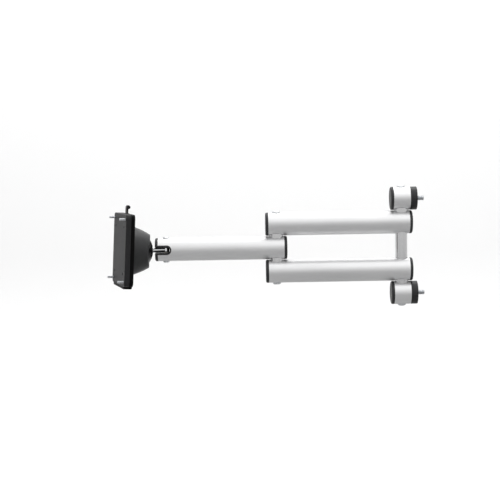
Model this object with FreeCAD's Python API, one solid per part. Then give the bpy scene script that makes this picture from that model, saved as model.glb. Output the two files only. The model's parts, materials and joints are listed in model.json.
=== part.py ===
import FreeCAD, Part
import math
import os

# Monitor arm that hangs on an upright slotted column. Millimetres, +Z up.
# +X points to the column, so the arm reaches towards -X. The origin is on the column's face, midway
# between the two mounting bolts. Every vertical pivot axis lies in the plane Y = 0.
# The head is laid out straight, by its distance ahead of the pan axis, and is then turned to its
# rest angles.

# Tubes and their pivots
TUBE_R = 19.0
TUBE_WALL = 2.5
TUBE_BORE_R = TUBE_R - TUBE_WALL
CORE_R = TUBE_BORE_R - 0.05         # castings and mouldings pushed into a tube
TUBE_PITCH = 38.9                   # height from one tube's axis to the next one's
COLUMN_REACH = 25.4                 # column face to shoulder axis
REAR_REACH = 206.0                  # shoulder axis to elbow axis
FRONT_REACH = 181.5                 # elbow axis to pan axis
END_REACH = 17.7                    # pivot axis to the outside of the nearest end cap
CAP_THICK = 4.8
CAP_EDGE_R = 2.2
TUBE_END = END_REACH - CAP_THICK    # pivot axis to the bare end of the tube
CAP_SPIGOT_R = 7.9
CAP_SPIGOT_LEN = 2.8
CORE_LEN_BEHIND = 26.0              # how far a core runs into the tube past its pivot axis

# Pivot hardware
PIN_R = 7.0
BUSH_R = 9.0
RUNNING_GAP = 0.05
FACE_GAP = 0.1
THRUST_RING_R = 11.3
SLEEVE_R = 10.0
POCKET_GAP = 0.3                    # between a ring or the sleeve and the wall of its pocket
RING_FLOOR = 15.7                   # tube axis to the flat floor that a ring sits on
BUSH_INNER_END = 3.0
PIN_END = 14.8                      # tube axis to the end of a fixed pin
SCREW_SEAT = 17.4
SCREW_POCKET_R = 7.3
M8_R = 4.0
M8_CLEAR_R = 4.2
M8_HEAD_R = 7.0
M8_HEAD_H = 4.4
M8_SCREW_LEN = 16.0

# Column mount
STUB_REAR = 14.2                    # shoulder axis to the rear end of a stub tube
PAD_EDGE_R = 0.8
LOW_HEAD_R = 6.5
LOW_HEAD_H = 5.0
LOW_HEAD_SEAT = 12.4                # shoulder axis to the seat under the column bolt's head
COLUMN_BOLT_LEN = 25.0
M8_WAIST_R = 3.55                   # shank of a bolt where it isn't threaded
ACCESS_R = 6.7

# Slotted front end and pan pivot
SLOT_HALF = 7.9                     # half the height of the slot cut in the tube
GAP_HALF = 5.4                      # half the height left open inside the slot's lining
SLOT_END_BACK = 1.6                 # pan axis back to the centre of the slot's round end
PLUG_BACK = 24.0
PAN_WASHER_R = 4.6
PAN_WASHER_THICK = 0.5
PAN_SEAT = 18.0
M6_R = 3.0
M6_HEAD_R = 5.5
M6_HEAD_H = 3.3
PAN_HEAD_POCKET_R = 5.8
PAN_BOLT_LEN = 33.0
PAN_NUT_SLEEVE_R = 4.5
PAN_NUT_SLEEVE_TOP = -9.0
PAN_NUT_THREAD_END = -15.0
KNUCKLE_R = 5.5
KNUCKLE_HALF = GAP_HALF - PAN_WASHER_THICK - FACE_GAP
KNUCKLE_EDGE_R = 2.5

# Dome joint, measured ahead of the pan axis along the head's axis
PAN_REST = 15.0                     # degrees, about +Z
TILT_REST = 3.2                     # degrees, about +Y of the straight head
BALL = 56.2                         # centre of the dome and of the tilt
DOME_R = 33.7
DOME_INNER_R = 31.0
DOME_EDGE_ANGLE = 62.0              # from the dome's apex to its open edge
DOME_BOSS_R = 8.0
DOME_BOSS_FACE = 26.9
NECK_R = 4.5
NECK_SHOULDER = 22.8
STUD_END = 35.5
NECK_WASHER_R = 6.5
NECK_WASHER_THICK = 1.6
M6_NUT_FLATS = 10.0
M6_NUT_H = 6.0

# Tilt housing
HOUSING_FRONT = 28.8                # foremost points of the rim, at its top and bottom
BELL_START = 25.8                   # the side's arc starts ahead of the rim, which cuts it off
BELL_START_R = 25.6
BELL_MIDDLE_R = 34.6
HOUSING_BACK = 59.4
HOUSING_BACK_R = 40.6
SADDLE_R = 66.0                     # the rim's arc, seen from above
SADDLE_REACH = 60.0
HOUSING_RIM_EDGE_R = 1.0
HOUSING_CAVITY_R = 34.2
LINER_R = 34.0
LINER_OUTER_R = 35.4
LINER_ANGLES = (54.0, 62.0)
CUP_R = 30.7
CUP_INNER_R = 27.7
CUP_MOUTH_R = 17.0
CUP_SKIRT_R = 24.5
CUP_SKIRT_INNER_R = 21.0
CUP_SKIRT_FRONT = 36.0
CUP_BACK = 50.5
SPRING_THICK = 1.2
SPRING_SMALL_R = 20.0
SPRING_LARGE_R = 25.0
SPRING_HOLE_R = 17.0
SPRING_LIP_R = 21.0
BASE_FRONT = 55.0
BASE_BACK = 63.0
BASE_INNER_R = 34.0
BASE_FLANGE_R = 41.4
BASE_SCREW_CIRCLE_R = 36.6
BASE_SCREW_R = 1.5
BASE_SCREW_HEAD_R = 3.0
BASE_SCREW_HEAD_H = 1.7
BASE_SCREW_LEN = 8.0
TURN_RING_INNER_R = 14.0
TURN_RING_R = 33.0
TURN_RING_THICK = 0.5
TURN_HEAD_R = 8.0
TURN_HEAD_H = 4.0
TURN_HEAD_EDGE_R = 2.0
TURN_SHANK_END = 47.0
TURN_NUT_FLATS = 13.0
TURN_NUT_H = 5.0
TURN_WASHER_R = 9.0
TURN_WASHER_THICK = 1.0

# Screen plates. Heights on the plates and the latch are measured from the middle of the plates.
PLATE_HALF = 58.0
PLATE_RISE = 2.5                    # from the turn axis up to the middle of the plates
PLATE_CORNER_R = 8.0
PLATE_WALL = 2.5
PLATE_FACE_EDGE_R = 1.2
PLATE_SEAM_EDGE_R = 0.5
ARM_PLATE_BACK = 63.6               # the face towards the arm
ARM_PLATE_DEPTH = 6.1
MONITOR_PLATE_BACK = 69.9
MONITOR_PLATE_FACE = 78.3           # the face that the screen is screwed to
VESA_100_HALF = 50.0
VESA_75_HALF = 37.5
VESA_HOLE_R = 2.25
M4_R = 2.0
M4_WAIST_R = 1.75
M4_HEAD_R = 4.0
M4_HEAD_H = 2.6
M4_HEAD_EDGE_R = 1.2
M4_SCREW_LEN = 12.0
LEDGE_THICK = 3.6
LEDGE_GAP = 0.2
LEDGE_END_MARGIN = 12.0             # from the plates' sides to the ends of the ledge
LEDGE_TIP_SHORT = 0.3               # how far the ledge stops short of the screen's face
LEDGE_HEEL_EDGE_R = 2.4
LEDGE_TIP_EDGE_R = 1.0
PEG_Y = 30.0
PEG_RANGE = (72.0, 75.0)            # distances ahead
PEG_HALF_WIDTH = 4.0
PEG_H = 3.5
PEG_GAP = 0.3

# Release latch at the middle of the arm-side plate's top edge
LATCH_HALF_WIDTH = 6.5
LATCH_THICK = 4.7
LATCH_BACK = 64.2
LATCH_PIN_R = 1.5
LATCH_PIN_AT = (66.55, 44.0)        # distance ahead, height
LATCH_PIN_HALF_LEN = 11.0
LATCH_WAIST_BACK = 66.3
LATCH_WAIST_BOTTOM = 58.6
LATCH_BEAD_AT = (66.0, 68.4)
LATCH_BEAD_R = 3.1
LATCH_EDGE_R = 0.8
NOTCH_HALF_WIDTH = 7.0
NOTCH_BOTTOM = 40.5
EAR_H = 8.0
NOSE_TIP = 71.4
NOSE_HALF_WIDTH = 4.5
NOSE_LEVELS = (50.5, 53.5)
NOSE_WINDOW_LEVELS = (49.8, 54.8)
NOSE_WINDOW_SIDE_GAP = 0.6
KEEPER_THICK = 2.0
KEEPER_BOTTOM = 46.5
SPRING_POCKET_HALF_WIDTH = 2.2
SPRING_POCKET_HALF_H = 3.1

SHOULDER_X = -COLUMN_REACH
ELBOW_X = SHOULDER_X - REAR_REACH
PAN_X = ELBOW_X - FRONT_REACH
STUB_LEVELS = (2 * TUBE_PITCH, -2 * TUBE_PITCH)
REAR_LEVELS = (TUBE_PITCH, -TUBE_PITCH)

X_AXIS = FreeCAD.Vector(1, 0, 0)
Y_AXIS = FreeCAD.Vector(0, 1, 0)
Z_AXIS = FreeCAD.Vector(0, 0, 1)


# Basic solids

def rod_x(radius, x_from, x_to, y=0.0, z=0.0):
    low = min(x_from, x_to)
    return Part.makeCylinder(radius, abs(x_to - x_from), FreeCAD.Vector(low, y, z), X_AXIS)


def rod_y(radius, x, z, y_from, y_to):
    low = min(y_from, y_to)
    return Part.makeCylinder(radius, abs(y_to - y_from), FreeCAD.Vector(x, low, z), Y_AXIS)


def rod_z(radius, x, z_from, z_to, y=0.0):
    low = min(z_from, z_to)
    return Part.makeCylinder(radius, abs(z_to - z_from), FreeCAD.Vector(x, y, low), Z_AXIS)


def block(x_range, y_range, z_range):
    size = [high - low for low, high in (x_range, y_range, z_range)]
    return Part.makeBox(size[0], size[1], size[2], FreeCAD.Vector(x_range[0], y_range[0], z_range[0]))


def hex_prism(flats, height, base, direction):
    radius = flats / math.sqrt(3.0)
    corners = []
    for step in range(7):
        angle = math.radians(60.0 * step)
        corners.append(FreeCAD.Vector(radius * math.cos(angle), radius * math.sin(angle), 0))
    prism = Part.Face(Part.makePolygon(corners)).extrude(FreeCAD.Vector(0, 0, height))
    prism.Placement = FreeCAD.Placement(base, FreeCAD.Rotation(Z_AXIS, direction))
    return prism


def cut_all(shape, cutters):
    return shape.cut(list(cutters)).removeSplitter()


def join(shapes):
    first, *others = shapes
    return first.fuse(others).removeSplitter()


def edges_on_circle(shape, radius, axis, level):
    """The circular edges of one radius, in the plane at one level along an axis."""
    found = []
    for edge in shape.Edges:
        is_circle = isinstance(edge.Curve, Part.Circle) and abs(edge.Curve.Radius - radius) < 1e-4
        if is_circle and abs(edge.Curve.Center.dot(axis) - level) < 1e-4:
            found.append(edge)
    return found


# Fasteners

def button_screw(head_r, head_h, shank_r, shank_len, socket_flats, x, seat_z, up):
    """A button-head screw whose head sits on seat_z. up is 1 with the head on top, -1 with it below."""
    head = rod_z(head_r, x, seat_z, seat_z + up * head_h)
    head = head.makeFillet(head_h * 0.75, edges_on_circle(head, head_r, Z_AXIS, seat_z + up * head_h))
    shank = rod_z(shank_r, x, seat_z, seat_z - up * shank_len)
    top = FreeCAD.Vector(x, 0, seat_z + up * (head_h + 1.0))
    socket = hex_prism(socket_flats, head_h * 0.6 + 1.0, top, Z_AXIS * -up)
    return join([head, shank]).cut(socket)


def pivot_screw(x, level, up):
    return button_screw(M8_HEAD_R, M8_HEAD_H, M8_R, M8_SCREW_LEN, 5.0, x, level + up * SCREW_SEAT, up)


def column_bolt(level):
    """Low-headed bolt, waisted inside the adapter and threaded where it stands out of the pad."""
    seat = SHOULDER_X + LOW_HEAD_SEAT
    head = rod_x(LOW_HEAD_R, seat - LOW_HEAD_H, seat, z=level)
    end = seat + COLUMN_BOLT_LEN
    waist = rod_x(M8_WAIST_R, seat, 0.0, z=level)
    thread = rod_x(M8_R, 0.0, end, z=level)
    thread = thread.makeChamfer(0.8, edges_on_circle(thread, M8_R, X_AXIS, end))
    socket = hex_prism(5.0, 3.0, FreeCAD.Vector(seat - LOW_HEAD_H, 0, level), X_AXIS)
    return join([head, waist, thread]).cut(socket)


# Tubes and what is at their ends

def ring_pocket(x, level, side, ring_r):
    """Flat-floored pocket in the crown of a tube, for a thrust ring or the spacer sleeve."""
    return rod_z(ring_r + POCKET_GAP, x, level + side * RING_FLOOR, level + side * (TUBE_R + 1.0))


def fixed_pin_cutters(x, level, outer):
    """Openings where a pin is held: a ring pocket inside, a screw head's pocket on the outer side."""
    return [
        ring_pocket(x, level, -outer, THRUST_RING_R),
        rod_z(PIN_R, x, level - outer * TUBE_R, level + outer * PIN_END),
        rod_z(M8_CLEAR_R, x, level, level + outer * TUBE_R),
        rod_z(SCREW_POCKET_R, x, level + outer * SCREW_SEAT, level + outer * (TUBE_R + 1.0)),
    ]


def turning_cutters(x, level, upper_ring_r, lower_ring_r):
    """Openings where a tube turns on a pin: a ring pocket on both sides and a bore for the bushes."""
    return [
        ring_pocket(x, level, 1, upper_ring_r),
        ring_pocket(x, level, -1, lower_ring_r),
        rod_z(BUSH_R, x, level - TUBE_R, level + TUBE_R),
    ]


def tube(x_from, x_to, level, cutters):
    shell = rod_x(TUBE_R, x_from, x_to, z=level).cut(rod_x(TUBE_BORE_R, x_from, x_to, z=level))
    return cut_all(shell, cutters)


def core(end_x, inward, length, level, cutters):
    """Casting inside a tube's end, recessed for the end cap. inward is the way into the tube, 1 or -1."""
    body = rod_x(CORE_R, end_x, end_x + inward * length, z=level)
    recess = rod_x(CAP_SPIGOT_R + 0.1, end_x, end_x + inward * (CAP_SPIGOT_LEN + 0.2), z=level)
    return cut_all(body, list(cutters) + [recess])


def end_cap(end_x, outward, level):
    """Flat cap with a rounded edge, and a spigot that holds in the core."""
    face_x = end_x + outward * CAP_THICK
    disc = rod_x(TUBE_R, end_x, face_x, z=level)
    disc = disc.makeFillet(CAP_EDGE_R, edges_on_circle(disc, TUBE_R, X_AXIS, face_x))
    spigot = rod_x(CAP_SPIGOT_R, end_x, end_x - outward * CAP_SPIGOT_LEN, z=level)
    return join([disc, spigot])


def shoulder_cutters(level):
    """A rear tube at the shoulder: thrust ring on the outer side, spacer sleeve on the inner one."""
    rings = (THRUST_RING_R, SLEEVE_R) if level > 0 else (SLEEVE_R, THRUST_RING_R)
    return turning_cutters(SHOULDER_X, level, *rings)


def elbow_cutters():
    return turning_cutters(ELBOW_X, 0.0, THRUST_RING_R, THRUST_RING_R)


def upright_ring(x, z_from, z_to, outer_r, inner_r):
    return rod_z(outer_r, x, z_from, z_to).cut(rod_z(inner_r, x, z_from, z_to))


def bushes(x, level):
    """The two plain bushes of a turning joint, one from each side of the tube."""
    pair = []
    for side in (1, -1):
        low = level + side * BUSH_INNER_END
        high = level + side * RING_FLOOR
        outer = rod_z(BUSH_R, x, low, high)
        pair.append(outer.cut(rod_z(PIN_R + RUNNING_GAP, x, low, high)))
    return pair


def pivot_pin(x, top):
    pin = rod_z(PIN_R, x, -top, top)
    tapped = [rod_z(M8_R, x, side * top, side * (top - M8_SCREW_LEN)) for side in (1, -1)]
    return pin.cut(tapped)


def thrust_ring(x, level, toward):
    """Ring on the tube at level, on its upper side (1) or lower side (-1), a gap short of the next tube."""
    start = level + toward * RING_FLOOR
    height = TUBE_PITCH - 2 * RING_FLOOR - FACE_GAP
    return upright_ring(x, start, start + toward * height, THRUST_RING_R, PIN_R + 0.2)


# Column bracket

def column_adapters():
    castings = []
    for level in STUB_LEVELS:
        outer = 1 if level > 0 else -1
        pad_front = SHOULDER_X + STUB_REAR
        front = SHOULDER_X - TUBE_END
        pad = rod_x(TUBE_R, pad_front, 0.0, z=level)
        rims = edges_on_circle(pad, TUBE_R, X_AXIS, pad_front) + edges_on_circle(pad, TUBE_R, X_AXIS, 0.0)
        pad = pad.makeFillet(PAD_EDGE_R, rims)
        spigot = core(front, 1, pad_front - front, level, fixed_pin_cutters(SHOULDER_X, level, outer))
        access = rod_x(ACCESS_R, front, SHOULDER_X + LOW_HEAD_SEAT, z=level)
        bolt_hole = rod_x(M8_CLEAR_R, SHOULDER_X, 0.0, z=level)
        castings.append(cut_all(join([pad, spigot]), [access, bolt_hole]))
    return castings


def stub_tubes():
    stubs = []
    for level in STUB_LEVELS:
        outer = 1 if level > 0 else -1
        cutters = fixed_pin_cutters(SHOULDER_X, level, outer)
        stubs.append(tube(SHOULDER_X - TUBE_END, SHOULDER_X + STUB_REAR, level, cutters))
    return stubs


def shoulder_thrust_rings():
    upper = thrust_ring(SHOULDER_X, 2 * TUBE_PITCH, -1)
    lower = thrust_ring(SHOULDER_X, -2 * TUBE_PITCH, 1)
    return [upper, lower]


# Rear arm

def rear_tube(level):
    outer = 1 if level > 0 else -1
    cutters = fixed_pin_cutters(ELBOW_X, level, outer) + shoulder_cutters(level)
    return tube(ELBOW_X - TUBE_END, SHOULDER_X + TUBE_END, level, cutters)


def rear_shoulder_inserts():
    inserts = []
    for level in REAR_LEVELS:
        cutters = shoulder_cutters(level)
        inserts.append(core(SHOULDER_X + TUBE_END, -1, TUBE_END + CORE_LEN_BEHIND, level, cutters))
    return inserts


def rear_elbow_inserts():
    inserts = []
    for level in REAR_LEVELS:
        cutters = fixed_pin_cutters(ELBOW_X, level, 1 if level > 0 else -1)
        inserts.append(core(ELBOW_X - TUBE_END, 1, TUBE_END + CORE_LEN_BEHIND, level, cutters))
    return inserts


def shoulder_spacer_sleeve():
    floor = TUBE_PITCH - RING_FLOOR
    return upright_ring(SHOULDER_X, -floor, floor, SLEEVE_R, PIN_R + RUNNING_GAP)


def elbow_thrust_rings():
    upper = thrust_ring(ELBOW_X, TUBE_PITCH, -1)
    lower = thrust_ring(ELBOW_X, -TUBE_PITCH, 1)
    return [upper, lower]


# Front arm

def slot_prism(half_height):
    """Horizontal slot right through the tube from its front end, with a round end behind the pan axis."""
    length = END_REACH + 1.0 + SLOT_END_BACK
    straight = block(
        (PAN_X + SLOT_END_BACK - length, PAN_X + SLOT_END_BACK),
        (-TUBE_R - 1.0, TUBE_R + 1.0),
        (-half_height, half_height),
    )
    round_end = rod_y(half_height, PAN_X + SLOT_END_BACK, 0.0, -TUBE_R - 1.0, TUBE_R + 1.0)
    return join([straight, round_end])


def pan_bores():
    return [
        rod_z(PAN_HEAD_POCKET_R, PAN_X, PAN_SEAT, TUBE_R + 1.0),
        rod_z(PAN_HEAD_POCKET_R, PAN_X, -PAN_SEAT, -TUBE_R - 1.0),
        rod_z(M6_R, PAN_X, -TUBE_R, TUBE_R),
        rod_z(PAN_NUT_SLEEVE_R, PAN_X, PAN_NUT_SLEEVE_TOP, -TUBE_R),
    ]


def front_tube():
    cutters = elbow_cutters() + pan_bores() + [slot_prism(SLOT_HALF)]
    return tube(PAN_X - TUBE_END, ELBOW_X + TUBE_END, 0.0, cutters)


def front_elbow_insert():
    return core(ELBOW_X + TUBE_END, -1, TUBE_END + CORE_LEN_BEHIND, 0.0, elbow_cutters())


def slotted_end_plug():
    """Front cap, core and slot lining in one moulding."""
    front = PAN_X - TUBE_END
    cap = rod_x(TUBE_R, front, PAN_X - END_REACH)
    cap = cap.makeFillet(CAP_EDGE_R, edges_on_circle(cap, TUBE_R, X_AXIS, PAN_X - END_REACH))
    inner = rod_x(CORE_R, front, PAN_X + PLUG_BACK)
    lining = slot_prism(SLOT_HALF).common(rod_x(TUBE_R, front, PAN_X + PLUG_BACK))
    washer_seats = rod_z(PAN_WASHER_R + 0.2, PAN_X, -GAP_HALF, GAP_HALF)
    return cut_all(join([inner, cap, lining]), [slot_prism(GAP_HALF), washer_seats] + pan_bores())


def pan_washers():
    washers = []
    for side in (1, -1):
        low = side * (GAP_HALF - PAN_WASHER_THICK)
        high = side * GAP_HALF
        washers.append(rod_z(PAN_WASHER_R, PAN_X, low, high).cut(rod_z(M6_R, PAN_X, low, high)))
    return washers


def pan_bolt():
    return button_screw(M6_HEAD_R, M6_HEAD_H, M6_R, PAN_BOLT_LEN, 4.0, PAN_X, PAN_SEAT, 1)


def pan_nut():
    """Sleeve nut with a button head, screwed on the bolt from below."""
    sleeve_len = PAN_NUT_SLEEVE_TOP + PAN_SEAT
    nut = button_screw(M6_HEAD_R, M6_HEAD_H, PAN_NUT_SLEEVE_R, sleeve_len, 4.0, PAN_X, -PAN_SEAT, -1)
    return nut.cut(rod_z(M6_R, PAN_X, PAN_NUT_SLEEVE_TOP, PAN_NUT_THREAD_END))


# Head, laid out straight ahead of the pan axis

def ahead(distance):
    """X of a point at this distance ahead of the pan axis, with the head straight."""
    return PAN_X - distance


def disc(radius, near, far, y=0.0, z=0.0):
    return rod_x(radius, ahead(near), ahead(far), y, z)


def washer(radius, hole_r, near, far):
    return disc(radius, near, far).cut(disc(hole_r, near, far))


def cone(near_r, far_r, near, far, y=0.0, z=0.0):
    base = FreeCAD.Vector(ahead(near), y, z)
    return Part.makeCone(near_r, far_r, far - near, base, X_AXIS * -1)


def ball(radius):
    return Part.makeSphere(radius, FreeCAD.Vector(ahead(BALL), 0, 0), X_AXIS)


def plane_at_angle(radius, degrees):
    """Distance ahead of the circle on a sphere at this angle from the apex that faces the arm."""
    return BALL - radius * math.cos(math.radians(degrees))


def turn_pan(shape):
    """Turns a piece of the head about the pan axis to its rest angle."""
    turned = shape.copy()
    turned.rotate(FreeCAD.Vector(PAN_X, 0, 0), Z_AXIS, PAN_REST)
    return turned


def turn_tilt(shape):
    """Turns a piece ahead of the dome to its rest tilt, and then with the pan."""
    turned = shape.copy()
    turned.rotate(FreeCAD.Vector(ahead(BALL), 0, 0), Y_AXIS, TILT_REST)
    return turn_pan(turned)


def turn_raised(shape):
    """Turns a piece of the plates, which are centred a little above the turn axis."""
    raised = shape.copy()
    raised.translate(Z_AXIS * PLATE_RISE)
    return turn_tilt(raised)


def neck():
    knuckle = rod_z(KNUCKLE_R, PAN_X, -KNUCKLE_HALF, KNUCKLE_HALF)
    rims = []
    for level in (KNUCKLE_HALF, -KNUCKLE_HALF):
        rims += edges_on_circle(knuckle, KNUCKLE_R, Z_AXIS, level)
    knuckle = knuckle.makeFillet(KNUCKLE_EDGE_R, rims)
    bar = disc(NECK_R, 0.0, NECK_SHOULDER)
    stud = disc(M6_R, NECK_SHOULDER, STUD_END)
    bore = rod_z(M6_R + RUNNING_GAP, PAN_X, -KNUCKLE_HALF, KNUCKLE_HALF)
    return join([knuckle, bar, stud]).cut(bore)


def friction_dome():
    edge = plane_at_angle(DOME_R, DOME_EDGE_ANGLE)
    cap_space = disc(DOME_R + 1.0, 0.0, edge)
    shell = ball(DOME_R).cut(ball(DOME_INNER_R)).common(cap_space)
    boss = disc(DOME_BOSS_R, 0.0, DOME_BOSS_FACE).common(ball(DOME_R))
    spot_face = disc(NECK_R + 0.1, 0.0, NECK_SHOULDER)
    stud_hole = disc(M6_R, 0.0, DOME_BOSS_FACE)
    return cut_all(join([shell, boss]), [spot_face, stud_hole])


def neck_nut():
    start = DOME_BOSS_FACE + NECK_WASHER_THICK
    nut = hex_prism(M6_NUT_FLATS, M6_NUT_H, FreeCAD.Vector(ahead(start), 0, 0), X_AXIS * -1)
    return nut.cut(disc(M6_R, start, start + M6_NUT_H))


def edges_across(shape, x):
    """The edges that lie wholly on the +X side of x, other than those in the plane Y = 0."""
    found = []
    for edge in shape.Edges:
        if edge.BoundBox.XMin > x and edge.BoundBox.YLength > 1.0:
            found.append(edge)
    return found


def base_screw_places():
    for step in range(4):
        angle = math.radians(45.0 + 90.0 * step)
        yield BASE_SCREW_CIRCLE_R * math.cos(angle), BASE_SCREW_CIRCLE_R * math.sin(angle)


def countersunk_body(y, z):
    """Outer shape of a countersunk M3 screw, head flush with the base's back."""
    neck_at = BASE_BACK - BASE_SCREW_HEAD_H
    head = cone(BASE_SCREW_R, BASE_SCREW_HEAD_R, neck_at, BASE_BACK, y, z)
    shank = disc(BASE_SCREW_R, BASE_BACK - BASE_SCREW_LEN, neck_at, y, z)
    return join([head, shank])


def base_screw(y, z):
    socket = hex_prism(2.0, 1.2, FreeCAD.Vector(ahead(BASE_BACK), y, z), X_AXIS)
    return countersunk_body(y, z).cut(socket)


def base_screw_holes():
    return [countersunk_body(y, z) for y, z in base_screw_places()]


def bell():
    """Solid of revolution about the head's axis, whose side is an arc from BELL_START to HOUSING_BACK."""
    front = FreeCAD.Vector(ahead(BELL_START), 0, 0)
    back = FreeCAD.Vector(ahead(HOUSING_BACK), 0, 0)
    side_start = front + Z_AXIS * BELL_START_R
    side_end = back + Z_AXIS * HOUSING_BACK_R
    side = Part.Arc(side_start, (front + back) * 0.5 + Z_AXIS * BELL_MIDDLE_R, side_end).toShape()
    lines = [Part.makeLine(side_end, back), Part.makeLine(back, front)]
    outline = Part.Wire([Part.makeLine(front, side_start), side] + lines)
    return Part.Face(outline).revolve(front, X_AXIS, 360)


def tilt_housing():
    """Bell-shaped socket. Its rim is a saddle: cut back at the sides, where the dome shows most."""
    saddle_axis = FreeCAD.Vector(ahead(HOUSING_FRONT + SADDLE_R), 0, 0)
    saddle = rod_z(SADDLE_R, saddle_axis.x, -SADDLE_REACH, SADDLE_REACH)
    saddle.rotate(saddle_axis, Z_AXIS, 180.0)
    outside = bell().common(saddle)
    outside = outside.makeFillet(HOUSING_RIM_EDGE_R, edges_across(outside, ahead(BALL)))
    rear_bore = disc(HOUSING_CAVITY_R, BALL, HOUSING_BACK)
    groove_near = plane_at_angle(LINER_R, LINER_ANGLES[0])
    groove_far = plane_at_angle(LINER_R, LINER_ANGLES[1])
    groove = ball(LINER_OUTER_R).common(disc(LINER_OUTER_R, groove_near, groove_far))
    return cut_all(outside, [ball(HOUSING_CAVITY_R), rear_bore, groove] + base_screw_holes())


def dome_liner_ring():
    near = plane_at_angle(LINER_R, LINER_ANGLES[0])
    far = plane_at_angle(LINER_R, LINER_ANGLES[1])
    return ball(LINER_OUTER_R).cut(ball(LINER_R)).common(disc(LINER_OUTER_R, near, far))


def clamp_cup():
    """Spring-loaded cup that presses on the dome from inside."""
    rim = ball(CUP_R).cut(ball(CUP_INNER_R)).common(disc(CUP_SKIRT_R, 0.0, CUP_SKIRT_FRONT + 4.0))
    rim = rim.cut(disc(CUP_MOUTH_R, 0.0, BALL))
    skirt = washer(CUP_SKIRT_R, CUP_SKIRT_INNER_R, CUP_SKIRT_FRONT, CUP_BACK)
    return join([rim, skirt.common(ball(CUP_R))])


def clamp_spring():
    """Coned disc spring between the cup and the base."""
    outer = cone(SPRING_SMALL_R, SPRING_LARGE_R, CUP_BACK, BASE_FRONT)
    inner = cone(SPRING_SMALL_R, SPRING_LARGE_R, CUP_BACK + SPRING_THICK, BASE_FRONT + SPRING_THICK)
    hole = disc(SPRING_HOLE_R, CUP_BACK, BASE_FRONT)
    lip = washer(SPRING_LIP_R, SPRING_HOLE_R, CUP_BACK, CUP_BACK + SPRING_THICK)
    return join([outer.cut([inner, hole]), lip])


def housing_base():
    inner = disc(BASE_INNER_R, BASE_FRONT, HOUSING_BACK)
    flange = disc(BASE_FLANGE_R, HOUSING_BACK, BASE_BACK)
    flange = flange.makeChamfer(0.8, edges_on_circle(flange, BASE_FLANGE_R, X_AXIS, ahead(BASE_BACK)))
    bore = disc(M8_R + RUNNING_GAP, BASE_FRONT, BASE_BACK)
    return cut_all(join([inner, flange]), [bore] + base_screw_holes())


def turn_friction_ring():
    return washer(TURN_RING_R, TURN_RING_INNER_R, BASE_BACK, BASE_BACK + TURN_RING_THICK)


# Screen plates, still straight ahead

def edges_in_plane(shape, x):
    """The edges that lie in the plane across X at x."""
    found = []
    for edge in shape.Edges:
        box = edge.BoundBox
        if abs(box.XMin - x) + abs(box.XMax - x) < 1e-4:
            found.append(edge)
    return found


def edges_along_x(shape, length):
    return [edge for edge in shape.Edges if abs(edge.BoundBox.XLength - length) < 1e-6]


def edges_along_y(shape, length, x, z):
    """Straight edges of one length along Y that lie at one place in X and Z."""
    found = []
    for edge in shape.Edges:
        box = edge.BoundBox
        is_there = abs(box.XMin - x) + abs(box.XMax - x) + abs(box.ZMin - z) + abs(box.ZMax - z) < 1e-4
        if is_there and abs(box.YLength - length) < 1e-4:
            found.append(edge)
    return found


def tray(near, far, skin_near, skin_far):
    """Square plate with a rim all round. The skin is the part between its two distances ahead."""
    outside = block((ahead(far), ahead(near)), (-PLATE_HALF, PLATE_HALF), (-PLATE_HALF, PLATE_HALF))
    outside = outside.makeFillet(PLATE_CORNER_R, edges_along_x(outside, far - near))
    skin_is_near = skin_near == near
    skin_face, seam = (near, far) if skin_is_near else (far, near)
    outside = outside.makeFillet(PLATE_FACE_EDGE_R, edges_in_plane(outside, ahead(skin_face)))
    outside = outside.makeFillet(PLATE_SEAM_EDGE_R, edges_in_plane(outside, ahead(seam)))
    half = PLATE_HALF - PLATE_WALL
    low, high = (skin_far, far) if skin_is_near else (near, skin_near)
    hollow = block((ahead(high), ahead(low)), (-half, half), (-half, half))
    return outside.cut(hollow.makeFillet(PLATE_CORNER_R - PLATE_WALL, edges_along_x(hollow, high - low)))


def ledge_pegs(growth):
    """Pegs on the ledge, or with growth the slots that they stand in."""
    near, far = PEG_RANGE
    pegs = []
    for y in (-PEG_Y, PEG_Y):
        pegs.append(block(
            (ahead(far + growth), ahead(near - growth)),
            (y - PEG_HALF_WIDTH - growth, y + PEG_HALF_WIDTH + growth),
            (-PLATE_HALF - LEDGE_GAP, -PLATE_HALF + PEG_H + growth),
        ))
    return pegs


def hooked_ledge():
    """Apron down from the arm-side plate and ledge under the monitor-side one, rounded at heel and tip."""
    half_length = PLATE_HALF - LEDGE_END_MARGIN
    top = -PLATE_HALF - LEDGE_GAP
    bottom = top - LEDGE_THICK
    tip = MONITOR_PLATE_FACE - LEDGE_TIP_SHORT
    apron = block(
        (ahead(ARM_PLATE_BACK + ARM_PLATE_DEPTH), ahead(ARM_PLATE_BACK)),
        (-half_length, half_length),
        (bottom, -PLATE_HALF + PLATE_WALL),
    )
    ledge = block((ahead(tip), ahead(ARM_PLATE_BACK)), (-half_length, half_length), (bottom, top))
    hook = join([apron, ledge])
    heel = edges_along_y(hook, 2 * half_length, ahead(ARM_PLATE_BACK), bottom)
    hook = hook.makeFillet(LEDGE_HEEL_EDGE_R, heel)
    return hook.makeFillet(LEDGE_TIP_EDGE_R, edges_along_y(hook, 2 * half_length, ahead(tip), bottom))


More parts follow.
